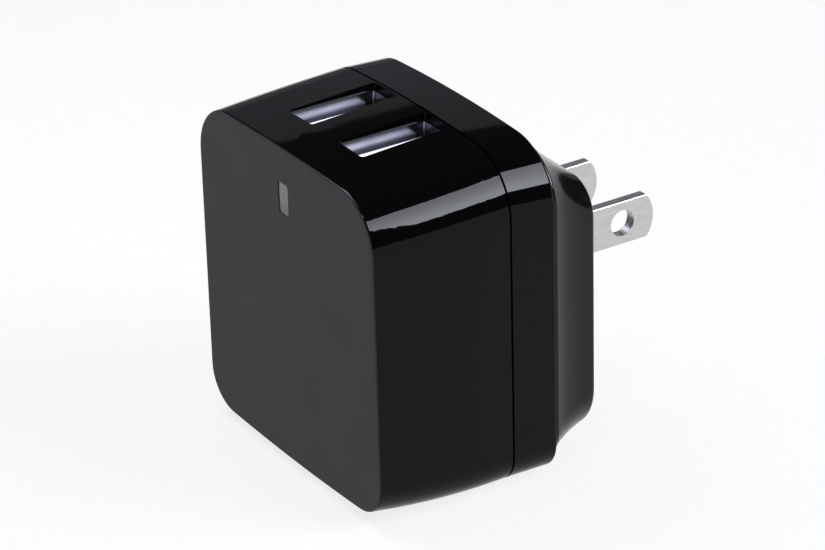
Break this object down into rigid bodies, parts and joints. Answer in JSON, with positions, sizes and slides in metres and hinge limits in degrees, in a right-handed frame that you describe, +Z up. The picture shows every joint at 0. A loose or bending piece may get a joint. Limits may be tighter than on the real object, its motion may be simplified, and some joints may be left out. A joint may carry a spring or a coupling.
{
  "type": "usb wall charger",
  "caption": "Compact mains charger with a rounded glossy body, matte front with an indicator window, USB-A sockets in its top and a slide-off plug head carrying flat blades.",
  "frame": {"origin": "middle of the plug head's flat wall face, halfway between the two blades", "axes": "+Y along the blades into the wall, +Z up towards the USB ports, matte front face towards -Y"},
  "size_m": [0.0432, 0.0519, 0.0468],
  "materials": {
    "black_shell": "gloss sides with a fine matte front face",
    "satin_black": "satin",
    "smoke_window": "frosted translucent",
    "lamp_resin": "clear resin",
    "port_steel": "plated sheet steel",
    "white_nylon": "satin",
    "contact_brass": "plated spring brass",
    "board_laminate": "solder mask",
    "ferrite": "sintered",
    "bobbin_nylon": "moulded",
    "winding_tape": "polyester tape",
    "capacitor_sleeve": "heat-shrunk sleeve",
    "blue_resin": "dipped resin",
    "epoxy_black": "moulded epoxy",
    "fuse_sleeve": "sleeved",
    "copper_wire": "enamelled copper",
    "sheet_film": "film",
    "nickel_plate": "satin nickel plate on brass"
  },
  "bodies": {
    "charger_body": {"bridge_rectifier": "epoxy_black", "choke_core": "ferrite", "choke_winding": "copper_wire", "controller_chip": "epoxy_black", "front_shell": "black_shell", "fuse": "fuse_sleeve", "indicator_lamp": "lamp_resin", "indicator_window": "smoke_window", "input_capacitors": "capacitor_sleeve", "insulation_sheet": "sheet_film", "main_board": "board_laminate", "mains_contact_line": "contact_brass", "mains_contact_neutral": "contact_brass", "output_capacitors": "capacitor_sleeve", "rear_shell": "black_shell", "safety_capacitor": "blue_resin", "switching_transistor": "epoxy_black", "transformer_bobbin": "bobbin_nylon", "transformer_core": "ferrite", "transformer_winding": "winding_tape", "usb_board": "board_laminate", "usb_contacts_left": "contact_brass", "usb_contacts_right": "contact_brass", "usb_shell_left": "port_steel", "usb_shell_right": "port_steel", "usb_tongue_left": "white_nylon", "usb_tongue_right": "white_nylon"},
    "plug_head": {"plug_head_shell": "satin_black", "plug_head_plate": "satin_black", "contact_strip_line": "contact_brass", "contact_strip_neutral": "contact_brass", "blade_line": "nickel_plate", "blade_neutral": "nickel_plate"}
  },
  "joints": [
    {"name": "plug_head_slide", "type": "slide", "parent": "charger_body", "child": "plug_head", "axis": [0, 0, 1], "range_m": [0, 0.046]}
  ]
}
